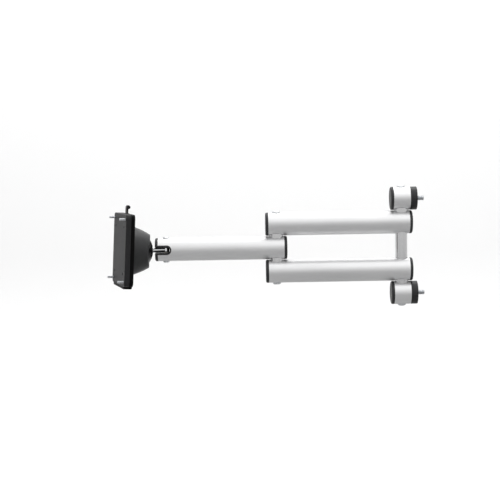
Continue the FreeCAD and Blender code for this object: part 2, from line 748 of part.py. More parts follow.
def arm_side_plate():
    skin_far = ARM_PLATE_BACK + PLATE_WALL
    far = ARM_PLATE_BACK + ARM_PLATE_DEPTH
    plate = tray(ARM_PLATE_BACK, far, ARM_PLATE_BACK, skin_far)
    ears = []
    for side in (1, -1):
        sides = sorted((side * NOTCH_HALF_WIDTH, side * (LATCH_PIN_HALF_LEN + 0.5)))
        depth = (ahead(far - 0.3), ahead(ARM_PLATE_BACK))
        ears.append(block(depth, sides, (NOTCH_BOTTOM, NOTCH_BOTTOM + EAR_H)))
    notch = block(
        (ahead(far + 1.0), ahead(ARM_PLATE_BACK - 1.0)),
        (-NOTCH_HALF_WIDTH, NOTCH_HALF_WIDTH),
        (NOTCH_BOTTOM, PLATE_HALF + 1.0),
    )
    pin_hole = rod_y(
        LATCH_PIN_R, ahead(LATCH_PIN_AT[0]), LATCH_PIN_AT[1], -LATCH_PIN_HALF_LEN, LATCH_PIN_HALF_LEN
    )
    turn_hole = disc(M8_R, ARM_PLATE_BACK, skin_far, z=-PLATE_RISE)
    return cut_all(join([plate, hooked_ledge()] + ears + ledge_pegs(0.0)), [notch, pin_hole, turn_hole])


def turn_bolt():
    """Low-headed M8 bolt that the plates turn on."""
    skin_far = ARM_PLATE_BACK + PLATE_WALL
    top = skin_far + TURN_HEAD_H
    head = disc(TURN_HEAD_R, skin_far, top)
    head = head.makeFillet(TURN_HEAD_EDGE_R, edges_on_circle(head, TURN_HEAD_R, X_AXIS, ahead(top)))
    shank = disc(M8_R, TURN_SHANK_END, skin_far)
    return join([head, shank])


def turn_washer():
    far = BASE_FRONT - FACE_GAP
    return washer(TURN_WASHER_R, M8_R, far - TURN_WASHER_THICK, far)


def turn_nut():
    far = BASE_FRONT - FACE_GAP - TURN_WASHER_THICK
    nut = hex_prism(TURN_NUT_FLATS, TURN_NUT_H, FreeCAD.Vector(ahead(far), 0, 0), X_AXIS)
    return nut.cut(disc(M8_R, far - TURN_NUT_H, far))


def square_places(half):
    return [(y, z) for y in (-half, half) for z in (-half, half)]


def monitor_side_plate():
    skin_near = MONITOR_PLATE_FACE - PLATE_WALL
    plate = tray(MONITOR_PLATE_BACK, MONITOR_PLATE_FACE, skin_near, MONITOR_PLATE_FACE)
    keeper_half = NOTCH_HALF_WIDTH + 3.0
    keeper = block(
        (ahead(MONITOR_PLATE_BACK + KEEPER_THICK), ahead(MONITOR_PLATE_BACK)),
        (-keeper_half, keeper_half),
        (KEEPER_BOTTOM, PLATE_HALF - PLATE_WALL),
    )
    webs = []
    for side in (1, -1):
        sides = sorted((side * (keeper_half - KEEPER_THICK), side * keeper_half))
        levels = (KEEPER_BOTTOM, PLATE_HALF - 1.0)
        webs.append(block((ahead(skin_near), ahead(MONITOR_PLATE_BACK)), sides, levels))
    window_half = NOSE_HALF_WIDTH + NOSE_WINDOW_SIDE_GAP
    window = block(
        (ahead(MONITOR_PLATE_BACK + KEEPER_THICK + 1.0), ahead(MONITOR_PLATE_BACK - 1.0)),
        (-window_half, window_half),
        NOSE_WINDOW_LEVELS,
    )
    holes = [
        disc(VESA_HOLE_R, skin_near, MONITOR_PLATE_FACE, y, z)
        for half in (VESA_100_HALF, VESA_75_HALF)
        for y, z in square_places(half)
    ]
    return cut_all(join([plate, keeper] + webs), [window] + holes + ledge_pegs(PEG_GAP))


def vesa_screws():
    seat = MONITOR_PLATE_FACE - PLATE_WALL
    screws = []
    for y, z in square_places(VESA_100_HALF):
        head = disc(M4_HEAD_R, seat - M4_HEAD_H, seat, y, z)
        rim = edges_on_circle(head, M4_HEAD_R, X_AXIS, ahead(seat - M4_HEAD_H))
        head = head.makeFillet(M4_HEAD_EDGE_R, rim)
        waist = disc(M4_WAIST_R, seat, MONITOR_PLATE_FACE, y, z)
        thread = disc(M4_R, MONITOR_PLATE_FACE, seat + M4_SCREW_LEN, y, z)
        screws.append(join([head, waist, thread]))
    return screws


def latch_pin():
    x = ahead(LATCH_PIN_AT[0])
    return rod_y(LATCH_PIN_R, x, LATCH_PIN_AT[1], -LATCH_PIN_HALF_LEN, LATCH_PIN_HALF_LEN)


def latch_spring():
    """Small torsion spring wound round the latch pin, in a pocket in the middle of the latch."""
    wire_r = 0.3
    coil_r = LATCH_PIN_R + wire_r + 0.1
    leg_len = 3.2
    pitch = 0.8
    turns = 3.0
    helix = Part.makeHelix(pitch, pitch * turns, coil_r)
    section = Part.Wire(Part.makeCircle(wire_r, FreeCAD.Vector(coil_r, 0, 0), Y_AXIS))
    coil = Part.Wire(helix).makePipeShell([section], True, True)
    leg = Part.makeCylinder(wire_r, leg_len, FreeCAD.Vector(coil_r, 0, 0), Y_AXIS * -1)
    spring = join([coil, leg])
    spring.rotate(FreeCAD.Vector(0, 0, 0), X_AXIS, 90.0)
    spring.translate(FreeCAD.Vector(ahead(LATCH_PIN_AT[0]), pitch * turns / 2, LATCH_PIN_AT[1]))
    return spring


# Latch

def release_latch():
    """Lever on the latch pin, with a bead to pull on a thin waist, and a nose for the monitor-side plate."""
    pin_ahead, pin_z = LATCH_PIN_AT
    bead_ahead, bead_z = LATCH_BEAD_AT
    half = LATCH_HALF_WIDTH
    front = LATCH_BACK + LATCH_THICK
    body = block((ahead(front), ahead(LATCH_BACK)), (-half, half), (pin_z, LATCH_WAIST_BOTTOM))
    waist = block((ahead(front), ahead(LATCH_WAIST_BACK)), (-half, half), (LATCH_WAIST_BOTTOM, bead_z))
    barrel = rod_y(LATCH_THICK / 2, ahead(pin_ahead), pin_z, -half, half)
    bead = rod_y(LATCH_BEAD_R, ahead(bead_ahead), bead_z, -half, half)
    rims = []
    for level in (half, -half):
        rims += edges_on_circle(bead, LATCH_BEAD_R, Y_AXIS, level)
    bead = bead.makeFillet(LATCH_EDGE_R, rims)
    nose = block((ahead(NOSE_TIP), ahead(front)), (-NOSE_HALF_WIDTH, NOSE_HALF_WIDTH), NOSE_LEVELS)
    latch = join([body, waist, barrel, bead, nose])
    pin_hole = rod_y(LATCH_PIN_R + RUNNING_GAP, ahead(pin_ahead), pin_z, -half, half)
    spring_pocket = block(
        (ahead(front), ahead(LATCH_BACK)),
        (-SPRING_POCKET_HALF_WIDTH, SPRING_POCKET_HALF_WIDTH),
        (pin_z - SPRING_POCKET_HALF_H, pin_z + SPRING_POCKET_HALF_H),
    )
    return cut_all(latch, [pin_hole, spring_pocket])


# Every node: its name, and the solid or the group of solids in it

def pair_of_caps(x_end, outward, levels):
    return [end_cap(x_end, outward, level) for level in levels]


FIXED_NODES = {
    "column_adapters": column_adapters(),
    "stub_tubes": stub_tubes(),
    "stub_front_caps": pair_of_caps(SHOULDER_X - TUBE_END, -1, STUB_LEVELS),
    "column_bolts": [column_bolt(level) for level in STUB_LEVELS],
    "shoulder_pin": pivot_pin(SHOULDER_X, 2 * TUBE_PITCH + PIN_END),
    "shoulder_pin_screws": [pivot_screw(SHOULDER_X, 2 * TUBE_PITCH * up, up) for up in (1, -1)],
    "shoulder_thrust_rings": shoulder_thrust_rings(),
    "upper_rear_tube": rear_tube(TUBE_PITCH),
    "lower_rear_tube": rear_tube(-TUBE_PITCH),
    "rear_shoulder_inserts": rear_shoulder_inserts(),
    "rear_elbow_inserts": rear_elbow_inserts(),
    "shoulder_bushes": bushes(SHOULDER_X, TUBE_PITCH) + bushes(SHOULDER_X, -TUBE_PITCH),
    "shoulder_spacer_sleeve": shoulder_spacer_sleeve(),
    "rear_tube_front_caps": pair_of_caps(ELBOW_X - TUBE_END, -1, REAR_LEVELS),
    "rear_tube_rear_caps": pair_of_caps(SHOULDER_X + TUBE_END, 1, REAR_LEVELS),
    "elbow_pin": pivot_pin(ELBOW_X, TUBE_PITCH + PIN_END),
    "elbow_pin_screws": [pivot_screw(ELBOW_X, TUBE_PITCH * up, up) for up in (1, -1)],
    "elbow_thrust_rings": elbow_thrust_rings(),
    "front_tube": front_tube(),
    "front_elbow_insert": front_elbow_insert(),
    "elbow_bushes": bushes(ELBOW_X, 0.0),
    "front_tube_rear_cap": end_cap(ELBOW_X + TUBE_END, 1, 0.0),
    "slotted_end_plug": slotted_end_plug(),
    "pan_washers": pan_washers(),
    "pan_bolt": pan_bolt(),
    "pan_nut": pan_nut(),
}

PANNED_NODES = {
    "neck": neck(),
    "friction_dome": friction_dome(),
    "neck_washer": washer(NECK_WASHER_R, M6_R, DOME_BOSS_FACE, DOME_BOSS_FACE + NECK_WASHER_THICK),
    "neck_nut": neck_nut(),
}

TILTED_NODES = {
    "tilt_housing": tilt_housing(),
    "dome_liner_ring": dome_liner_ring(),
    "clamp_cup": clamp_cup(),
    "clamp_spring": clamp_spring(),
    "housing_base": housing_base(),
    "housing_base_screws": [base_screw(y, z) for y, z in base_screw_places()],
    "turn_friction_ring": turn_friction_ring(),
    "turn_bolt": turn_bolt(),
    "turn_washer": turn_washer(),
    "turn_nut": turn_nut(),
}

RAISED_NODES = {
    "arm_side_plate": arm_side_plate(),
    "monitor_side_plate": monitor_side_plate(),
    "vesa_screws": vesa_screws(),
    "latch_pin": latch_pin(),
    "latch_spring": latch_spring(),
    "release_latch": release_latch(),
}


def export(name, shapes, place):
    solids = shapes if isinstance(shapes, list) else [shapes]
    placed = [place(solid) for solid in solids]
    node = placed[0] if len(placed) == 1 else Part.makeCompound(placed)
    count = len(node.Solids)
    if count != len(solids) or not node.isValid():
        raise ValueError(f"{name}: {count} solids, valid {node.isValid()}")
    node.exportStep(os.path.join("parts", name + ".step"))
    print(f"{name}: {count} solids, {node.Volume / 1000.0:.2f} cm3")


os.makedirs("parts", exist_ok=True)
for node_name, pieces in FIXED_NODES.items():
    export(node_name, pieces, lambda shape: shape)
for node_name, pieces in PANNED_NODES.items():
    export(node_name, pieces, turn_pan)
for node_name, pieces in TILTED_NODES.items():
    export(node_name, pieces, turn_tilt)
for node_name, pieces in RAISED_NODES.items():
    export(node_name, pieces, turn_raised)
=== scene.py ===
import json
import math

import bmesh
import bpy
from mathutils import Matrix, Vector


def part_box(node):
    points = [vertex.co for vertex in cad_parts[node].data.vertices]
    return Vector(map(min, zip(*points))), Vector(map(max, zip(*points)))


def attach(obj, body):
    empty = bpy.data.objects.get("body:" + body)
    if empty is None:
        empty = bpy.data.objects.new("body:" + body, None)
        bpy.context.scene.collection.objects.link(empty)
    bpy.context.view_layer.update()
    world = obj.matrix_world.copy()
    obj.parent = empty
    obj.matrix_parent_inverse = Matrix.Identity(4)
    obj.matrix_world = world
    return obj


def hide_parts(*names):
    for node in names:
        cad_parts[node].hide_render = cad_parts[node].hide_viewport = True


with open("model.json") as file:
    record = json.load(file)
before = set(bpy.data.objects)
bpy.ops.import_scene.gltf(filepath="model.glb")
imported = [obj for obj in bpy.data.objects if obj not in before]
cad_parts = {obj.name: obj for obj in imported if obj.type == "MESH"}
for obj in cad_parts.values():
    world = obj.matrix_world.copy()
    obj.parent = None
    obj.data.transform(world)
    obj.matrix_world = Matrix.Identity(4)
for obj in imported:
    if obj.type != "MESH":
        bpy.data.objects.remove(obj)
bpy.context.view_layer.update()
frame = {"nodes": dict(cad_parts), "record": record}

# Looks of the column-mounted monitor arm, in metres, in the frame's own axes:
# the column is at +X, the arm reaches towards -X, +Z is up.

MM = 0.001

# Camera: a long lens a little above the arm, which it sees almost square on
CAMERA_AT = Vector((-0.2896, -2.1043, 0.144))
CAMERA_YAW = math.radians(0.4)
CAMERA_PITCH = math.radians(-4.0)
CAMERA_ROLL = math.radians(-0.98)
SENSOR_WIDTH = 36.0                 # millimetres, as is the lens
LENS = 92.16
CLIP_START = 0.05
CLIP_END = 50.0

# Stage: a floor that curves up into a wall, and turns from grey to white as it starts to rise
FLOOR_Z = -1.3
STAGE_HALF_WIDTH = 12.0
STAGE_FRONT = -12.0
STAGE_BACK = 2.6
STAGE_COVE_R = 1.1
STAGE_TOP = 3.6
COVE_STEPS = 16
FLOOR_GREY = 0.38
WALL_WHITE = 0.93
WHITE_FROM_HEIGHT = 0.3             # above the floor
PAINT_ROUGHNESS = 0.9

# Brightness of the surroundings straight down and straight up
WORLD_BELOW = 0.3
WORLD_ABOVE = 1.22

# Area lights: the powers are in watts, and a size is a width and a height
ARM_MIDDLE = (-0.1, 0.0, 0.0)
AREA_LIGHTS = {
    "overhead": {
        "at": (0.35, -0.3, 1.35), "target": ARM_MIDDLE, "size": (1.5, 1.3), "power": 3.5,
    },
    "front_key": {
        "at": (0.5, -1.9, 1.5), "target": ARM_MIDDLE, "size": (2.0, 1.3), "power": 4.0,
    },
    "back_wash": {
        "at": (0.0, 1.3, 2.9), "target": (0.0, STAGE_BACK, 0.1), "size": (4.0, 0.8), "power": 75.0,
    },
}

# Finish: how the CAD nodes' edges are broken, and how the pieces made here are welded and smoothed
EDGE_BREAK = 0.25 * MM
EDGE_BREAK_SEGMENTS = 2
EDGE_BREAK_ANGLE = math.radians(40.0)
SHARP_ANGLE = math.radians(38.0)
WELD_DISTANCE = 1e-7
SMALLEST_RADIUS = 1e-6

# Screws with cut threads. Lengths run from the seat under the head.
COLUMN_BOLT = {
    "head_r": 6.5 * MM, "head_h": 5.0 * MM, "edge": 0.6 * MM, "socket_depth": 3.0 * MM,
    "waist_r": 3.55 * MM, "thread_from": 13.0 * MM, "thread_r": 4.0 * MM, "pitch": 1.25 * MM,
    "length": 25.0 * MM,
}
SCREEN_SCREW = {
    "head_r": 4.0 * MM, "head_h": 2.6 * MM, "edge": 1.2 * MM, "socket_depth": 1.5 * MM,
    "waist_r": 1.75 * MM, "thread_from": 2.5 * MM, "thread_r": 2.0 * MM, "pitch": 0.7 * MM,
    "length": 12.0 * MM,
}
SOCKET_FLATS = 5.0 * MM
CROSS_HALF_WIDTH = 0.45 * MM
CROSS_HALF_LENGTH = 1.9 * MM
ROUND_STEPS = 48                    # vertices in each turn of a round piece
THREAD_STEPS = 8                    # rows of vertices in each turn of a thread
THREAD_DEPTH = 0.6                  # of the pitch
FLANK_SLOPE = 2.6                   # how fast the radius falls from crest to root
CREST_FLAT = 0.15                   # how much of that fall is cut off to leave the crest flat
EDGE_STEPS = 4                      # faces across a rounded edge

# Where the head's pieces are, ahead of the pan axis and above the turn axis
TILT_CENTRE_AHEAD = 56.2 * MM
PLATE_RISE = 2.5 * MM
SCREEN_SCREW_SEAT = 75.8 * MM
VESA_HALF = 50.0 * MM
BEAD_AHEAD = 66.0 * MM
BEAD_HEIGHT = 68.4 * MM
BEAD_R = 3.1 * MM
RIB_R = 0.42 * MM
RIB_HALF_LENGTH = 4.9 * MM
RIB_ANGLES = (-20.0, 10.0, 40.0, 70.0, 100.0)


# Materials: every one is a node tree over the piece's own coordinates

# The Mix node's colour sockets, by place, because its socket names repeat for each kind of data
MIX_FACTOR = 0
MIX_A = 6
MIX_B = 7
MIX_RESULT = 2

NOISE_LOW = 0.3                     # most of a noise pattern lies between these two values
NOISE_HIGH = 0.7
HANDLED_LIGHTER = 2.2               # worn edges against the light colour of a plastic
RUBBED_LIGHTER = 3.0                # and of a powder coat
WEAR_SAMPLES = 4
FULLY_WORN = 0.8                    # cosine between the rounded and the true normal of a worn edge


def lighter(colour, times):
    """The same colour, several times as bright."""
    return tuple(times * channel for channel in colour)


class Shader:
    """Shorthand for building one material's node tree."""

    def __init__(self, name):
        self.material = bpy.data.materials.new(name)
        self.material.use_nodes = True
        self.nodes = self.material.node_tree.nodes
        self.links = self.material.node_tree.links
        self.surface = self.nodes["Principled BSDF"]
        self.place = self.nodes.new("ShaderNodeTexCoord").outputs["Object"]

    def scaled(self, scale):
        """The piece's coordinates, stretched by a scale along each axis."""
        node = self.nodes.new("ShaderNodeMapping")
        node.inputs["Scale"].default_value = scale
        self.links.new(self.place, node.inputs["Vector"])
        return node.outputs["Vector"]

    def noise(self, vector, scale, detail, roughness=0.5):
        """Soft random pattern from 0 to 1."""
        node = self.nodes.new("ShaderNodeTexNoise")
        node.inputs["Scale"].default_value = scale
        node.inputs["Detail"].default_value = detail
        node.inputs["Roughness"].default_value = roughness
        self.links.new(vector, node.inputs["Vector"])
        return node.outputs["Fac"]

    def cells(self, vector, scale):
        """Distance from the nearest of many scattered points: a pattern of rounded cells."""
        node = self.nodes.new("ShaderNodeTexVoronoi")
        node.inputs["Scale"].default_value = scale
        self.links.new(vector, node.inputs["Vector"])
        return node.outputs["Distance"]

    def ramp(self, value, low, high, out_low, out_high):
        """Maps a value from one range to another, clamped."""
        node = self.nodes.new("ShaderNodeMapRange")
        node.inputs["From Min"].default_value = low
        node.inputs["From Max"].default_value = high
        node.inputs["To Min"].default_value = out_low
        node.inputs["To Max"].default_value = out_high
        self.links.new(value, node.inputs["Value"])
        return node.outputs["Result"]

    def spread(self, pattern, out_low, out_high):
        """Stretches a noise pattern over a range, because most of it lies near its middle."""
        return self.ramp(pattern, NOISE_LOW, NOISE_HIGH, out_low, out_high)

    def blend_colours(self, value, dark, light):
        """Mixes two plain colours."""
        node = self.nodes.new("ShaderNodeMix")
        node.data_type = "RGBA"
        node.inputs[MIX_A].default_value = (*dark, 1.0)
        node.inputs[MIX_B].default_value = (*light, 1.0)
        self.links.new(value, node.inputs[MIX_FACTOR])
        return node.outputs[MIX_RESULT]

    def blend_onto(self, value, base, top):
        """Mixes a plain colour over a colour that another node gives."""
        node = self.nodes.new("ShaderNodeMix")
        node.data_type = "RGBA"
        node.inputs[MIX_B].default_value = (*top, 1.0)
        self.links.new(base, node.inputs[MIX_A])
        self.links.new(value, node.inputs[MIX_FACTOR])
        return node.outputs[MIX_RESULT]

    def calculate(self, operation, first, second):
        """Sum or product of two values, each a socket or a number."""
        node = self.nodes.new("ShaderNodeMath")
        node.operation = operation
        for socket, value in zip(node.inputs, (first, second)):
            if isinstance(value, (int, float)):
                socket.default_value = value
            else:
                self.links.new(value, socket)
        return node.outputs["Value"]

    def add_shares(self, first, share, second):
        """Adds two patterns, the first with its share and the second with what is left of 1."""
        one = self.calculate("MULTIPLY", first, share)
        other = self.calculate("MULTIPLY", second, 1.0 - share)
        return self.calculate("ADD", one, other)

    def edge_wear(self, radius):
        """0 on flats and up to 1 along the piece's edges."""
        bevel = self.nodes.new("ShaderNodeBevel")
        bevel.samples = WEAR_SAMPLES
        bevel.inputs["Radius"].default_value = radius
        normal = self.nodes.new("ShaderNodeNewGeometry").outputs["Normal"]
        dot = self.nodes.new("ShaderNodeVectorMath")
        dot.operation = "DOT_PRODUCT"
        self.links.new(bevel.outputs["Normal"], dot.inputs[0])
        self.links.new(normal, dot.inputs[1])
        return self.ramp(dot.outputs["Value"], 1.0, FULLY_WORN, 0.0, 1.0)

    def colour(self, value):
        self.links.new(value, self.surface.inputs["Base Color"])

    def roughness(self, value):
        self.links.new(value, self.surface.inputs["Roughness"])

    def bump(self, height, strength, distance):
        """Fine relief in the surface, too shallow to be modelled."""
        node = self.nodes.new("ShaderNodeBump")
        node.inputs["Strength"].default_value = strength
        node.inputs["Distance"].default_value = distance
        self.links.new(height, node.inputs["Height"])
        self.links.new(node.outputs["Normal"], self.surface.inputs["Normal"])

    def set(self, metallic=0.0, specular=0.5):
        """The surface values that are the same all over a piece."""
        self.surface.inputs["Metallic"].default_value = metallic
        self.surface.inputs["Specular IOR Level"].default_value = specular


def anodised_tube():
    """Satin anodised extrusion: fine lines along the tube, a soft grain, faint cloudiness."""
    s = Shader("anodised_tube")
    s.set(metallic=0.85, specular=0.35)
    dark, light, bare = (0.675, 0.675, 0.68), (0.735, 0.735, 0.74), (0.82, 0.82, 0.825)
    lines = s.noise(s.scaled((5.0, 700.0, 700.0)), scale=1.0, detail=3.0)
    grain = s.noise(s.place, scale=2400.0, detail=2.0)
    cloud = s.noise(s.scaled((9.0, 40.0, 40.0)), scale=1.0, detail=3.0)
    worn = s.edge_wear(0.6 * MM)
    s.colour(s.blend_onto(worn, s.blend_colours(s.spread(cloud, 0.0, 1.0), dark, light), bare))
    texture = s.add_shares(lines, 0.65, grain)
    s.roughness(s.spread(texture, 0.38, 0.52))
    s.bump(texture, strength=0.16, distance=0.05 * MM)
    return s.material


def moulded_plastic(name, dark, light, roughness, specular=0.3, grain_scale=1500.0, bump=0.25):
    """Fine-textured moulding, lighter where its edges have been handled."""
    s = Shader(name)
    s.set(specular=specular)
    grain = s.noise(s.place, grain_scale, detail=3.0, roughness=0.6)
    cloud = s.noise(s.place, scale=60.0, detail=4.0)
    handled = s.calculate("MULTIPLY", s.edge_wear(0.8 * MM), 0.5)
    base = s.blend_colours(s.spread(cloud, 0.0, 1.0), dark, light)
    s.colour(s.blend_onto(handled, base, lighter(light, HANDLED_LIGHTER)))
    s.roughness(s.spread(grain, roughness - 0.06, roughness + 0.08))
    s.bump(grain, bump, distance=0.08 * MM)
    return s.material


def powder_coat(name, dark, light, roughness, specular):
    """Powder coat: low rounded orange peel with a finer grain in it, rubbed thin along the edges."""
    s = Shader(name)
    s.set(specular=specular)
    peel = s.cells(s.place, scale=650.0)
    grain = s.noise(s.place, scale=2200.0, detail=2.0)
    cloud = s.noise(s.place, scale=40.0, detail=3.0)
    rubbed = s.calculate("MULTIPLY", s.edge_wear(0.7 * MM), s.ramp(cloud, 0.45, 0.62, 0.0, 0.6))
    s.colour(s.blend_onto(rubbed, s.blend_colours(cloud, dark, light), lighter(light, RUBBED_LIGHTER)))
    s.roughness(s.spread(grain, roughness - 0.05, roughness + 0.07))
    s.bump(s.add_shares(peel, 0.7, grain), strength=0.22, distance=0.1 * MM)
    return s.material


def worked_metal(name, dark, light, roughness, marks_scale, bump=0.1):
    """Bright metal with tool marks: their scale is small along the marks and large across them."""
    s = Shader(name)
    s.set(metallic=1.0)
    marks = s.noise(s.scaled(marks_scale), scale=1.0, detail=3.0)
    cloud = s.noise(s.place, scale=80.0, detail=2.0)
    s.colour(s.blend_colours(cloud, dark, light))
    s.roughness(s.spread(marks, roughness * 0.75, roughness * 1.3))
    s.bump(marks, bump, distance=0.03 * MM)
    return s.material


# What each material slot looks like. Noise swings its colour from dark to light.
PLASTICS = {
    "end_caps": {
        "dark": (0.020, 0.020, 0.021), "light": (0.028, 0.028, 0.030), "roughness": 0.5,
    },
    "core_plastic": {
        "dark": (0.035, 0.035, 0.04), "light": (0.05, 0.05, 0.055), "roughness": 0.6,
    },
    "bush_nylon": {
        "dark": (0.66, 0.64, 0.58), "light": (0.76, 0.74, 0.68), "roughness": 0.45,
        "specular": 0.4, "grain_scale": 900.0, "bump": 0.1,
    },
    "dome_black": {
        "dark": (0.003, 0.003, 0.0035), "light": (0.005, 0.005, 0.0055), "roughness": 0.26,
        "specular": 0.22, "grain_scale": 2400.0, "bump": 0.05,
    },
    "housing_grey": {
        "dark": (0.019, 0.0194, 0.0202), "light": (0.026, 0.0265, 0.0275), "roughness": 0.40,
        "specular": 0.32,
    },
    "latch_black": {
        "dark": (0.005, 0.005, 0.0055), "light": (0.009, 0.009, 0.0095), "roughness": 0.45,
        "specular": 0.2,
    },
}
POWDER_COATS = {
    "black_casting": {
        "dark": (0.014, 0.014, 0.015), "light": (0.020, 0.020, 0.021), "roughness": 0.42,
        "specular": 0.3,
    },
    "plate_black": {
        "dark": (0.0015, 0.0015, 0.0016), "light": (0.003, 0.003, 0.0032), "roughness": 0.5,
        "specular": 0.06,
    },
    "plate_grey": {
        "dark": (0.016, 0.0163, 0.017), "light": (0.022, 0.0223, 0.0235), "roughness": 0.5,
        "specular": 0.14,
    },
}
METALS = {
    "bright_steel": {
        "dark": (0.62, 0.62, 0.625), "light": (0.70, 0.70, 0.705), "roughness": 0.14,
        "marks_scale": (60.0, 60.0, 2400.0), "bump": 0.03,
    },
    "zinc_steel": {
        "dark": (0.58, 0.60, 0.62), "light": (0.70, 0.71, 0.72), "roughness": 0.3,
        "marks_scale": (900.0, 900.0, 900.0),
    },
    "spring_steel": {
        "dark": (0.22, 0.22, 0.24), "light": (0.34, 0.34, 0.36), "roughness": 0.32,
        "marks_scale": (1200.0, 1200.0, 1200.0),
    },
    "neck_chrome": {
        "dark": (0.82, 0.83, 0.84), "light": (0.88, 0.89, 0.90), "roughness": 0.1,
        "marks_scale": (1500.0, 1500.0, 1500.0), "bump": 0.02,
    },
}

materials = {"anodised_tube": anodised_tube()}
for make, looks in ((moulded_plastic, PLASTICS), (powder_coat, POWDER_COATS), (worked_metal, METALS)):
    for slot, look in looks.items():
        materials[slot] = make(slot, **look)

node_slot = {part["node"]: part["material_slot"] for part in frame["record"]["subparts"]}


# Places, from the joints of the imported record

joints = {joint["name"]: joint for joint in frame["record"]["behaviour"]["joints"]}
tilt_centre = Vector(joints["head_tilt"]["pos_m"])
head_ahead = Vector(joints["head_turn"]["axis"]).normalized()
head_side = Vector(joints["head_tilt"]["axis"]).normalized()
head_up = head_side.cross(head_ahead)


def frame_at(point, along, across):
    """Placement whose Z runs along one direction, with X across it."""
    turned = Matrix((across, along.cross(across), along)).transposed().to_4x4()
    return Matrix.Translation(point) @ turned


def head_point(ahead, side, up):
    """Point of the tilt head, from its distance ahead of the pan axis, to the side and above."""
    distance = ahead - TILT_CENTRE_AHEAD
    return tilt_centre + head_ahead * distance + head_side * side + head_up * up


# Pieces

def finish_cad_node(node):
    """Gives a CAD node its material and breaks its sharp edges."""
    piece = frame["nodes"][node]
    piece.data.materials.clear()
    piece.data.materials.append(materials[node_slot[node]])
    bevel = piece.modifiers.new("edge_break", "BEVEL")
    bevel.width = EDGE_BREAK
    bevel.segments = EDGE_BREAK_SEGMENTS
    bevel.limit_method = "ANGLE"
    bevel.angle_limit = EDGE_BREAK_ANGLE
    bevel.harden_normals = True


def add_piece(name, shape, slot, body, *replaced):
    """Makes a bmesh into a piece with its material, body and the CAD nodes that it stands for."""
    bmesh.ops.remove_doubles(shape, verts=shape.verts, dist=WELD_DISTANCE)
    bmesh.ops.recalc_face_normals(shape, faces=shape.faces)
    mesh = bpy.data.meshes.new(name)
    shape.to_mesh(mesh)
    shape.free()
    for polygon in mesh.polygons:
        polygon.use_smooth = True
    mesh.set_sharp_from_angle(angle=SHARP_ANGLE)
    mesh.materials.append(materials[slot])
    piece = bpy.data.objects.new(name, mesh)
    bpy.context.scene.collection.objects.link(piece)
    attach(piece, body)
    if replaced:
        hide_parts(*replaced)


def add_turned(shape, rows, place):
    """Adds a solid round the placement's Z.

    A row is a distance along Z and a radius, which can be a number or a function of the angle.
    """
    loops = []
    for distance, radius in rows:
        loop = []
        for step in range(ROUND_STEPS):
            angle = 2.0 * math.pi * step / ROUND_STEPS
            r = radius(angle) if callable(radius) else radius
            point = Vector((r * math.cos(angle), r * math.sin(angle), distance))
            loop.append(shape.verts.new(place @ point))
            if radius == 0.0:
                break
        loops.append(loop)
    for near, far in zip(loops, loops[1:]):
        for step in range(ROUND_STEPS):
            ring = [near[step % len(near)], near[(step + 1) % len(near)]]
            ring += [far[(step + 1) % len(far)], far[step % len(far)]]
            shape.faces.new(list(dict.fromkeys(ring)))


def hex_radius(flats):
    """Radius of a hexagon at each angle, for a socket."""
    half_side = math.pi / 6.0       # the angle that half of one side spans

    def radius(angle):
        from_middle = (angle + half_side) % (2.0 * half_side) - half_side
        return flats / 2.0 / math.cos(from_middle)

    return radius


def cross_radius(angle):
    """Radius of a cross recess at each angle."""
    wide, narrow = sorted((abs(math.cos(angle)), abs(math.sin(angle))), reverse=True)
    return min(CROSS_HALF_LENGTH / wide, CROSS_HALF_WIDTH / max(narrow, SMALLEST_RADIUS))


def thread_rows(sizes):
    """Rows of a cut thread: the radius swings between root and crest once in each pitch."""
    pitch = sizes["pitch"]
    depth = THREAD_DEPTH * pitch
    start = sizes["thread_from"]
    length = sizes["length"] - start
    count = round(length / pitch * THREAD_STEPS)
    for row in range(count + 1):
        distance = start + length * row / count
        to_end = min(sizes["length"] - distance, distance - start)
        crest = sizes["thread_r"] - max(0.0, depth - to_end)

        def radius(angle, distance=distance, crest=crest):
            phase = (distance / pitch - angle / (2.0 * math.pi)) % 1.0
            flank = min(1.0, max(0.0, FLANK_SLOPE * abs(phase - 0.5) - CREST_FLAT))
            return min(crest, sizes["thread_r"] - depth * flank)

        yield distance, radius


def add_screw(shape, sizes, recess, place):
    """Adds a screw with a recess in its head, a waisted shank and a real thread."""
    head_r, top, edge = sizes["head_r"], -sizes["head_h"], sizes["edge"]
    floor = top + sizes["socket_depth"]
    rows = [(floor, 0.0), (floor, recess), (top, recess)]
    for step in range(EDGE_STEPS + 1):
        angle = math.radians(90.0 * step / EDGE_STEPS)
        rows.append((top + edge - edge * math.cos(angle), head_r - edge + edge * math.sin(angle)))
    rows += [(0.0, head_r), (0.0, sizes["waist_r"]), (sizes["thread_from"], sizes["waist_r"])]
    rows += list(thread_rows(sizes))
    rows.append((sizes["length"], 0.0))
    add_turned(shape, rows, place)


def column_bolts():
    """The two bolts that hold the arm to its column, one behind each stub."""
    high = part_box("column_bolts")[1]
    seat_x = high.x - COLUMN_BOLT["length"]
    height = high.z - COLUMN_BOLT["head_r"]
    shape = bmesh.new()
    for level in (height, -height):
        place = frame_at(Vector((seat_x, 0.0, level)), Vector((1, 0, 0)), Vector((0, 0, 1)))
        add_screw(shape, COLUMN_BOLT, hex_radius(SOCKET_FLATS), place)
    add_piece("threaded_column_bolts", shape, "zinc_steel", "column_bracket", "column_bolts")


def screen_screws():
    """Cross-recessed screws at the corners of the 100 mm pattern."""
    shape = bmesh.new()
    for side in (-VESA_HALF, VESA_HALF):
        for up in (-VESA_HALF, VESA_HALF):
            seat = head_point(SCREEN_SCREW_SEAT, side, up + PLATE_RISE)
            add_screw(shape, SCREEN_SCREW, cross_radius, frame_at(seat, head_ahead, head_up))
    add_piece("threaded_screen_screws", shape, "zinc_steel", "screen_plates", "vesa_screws")


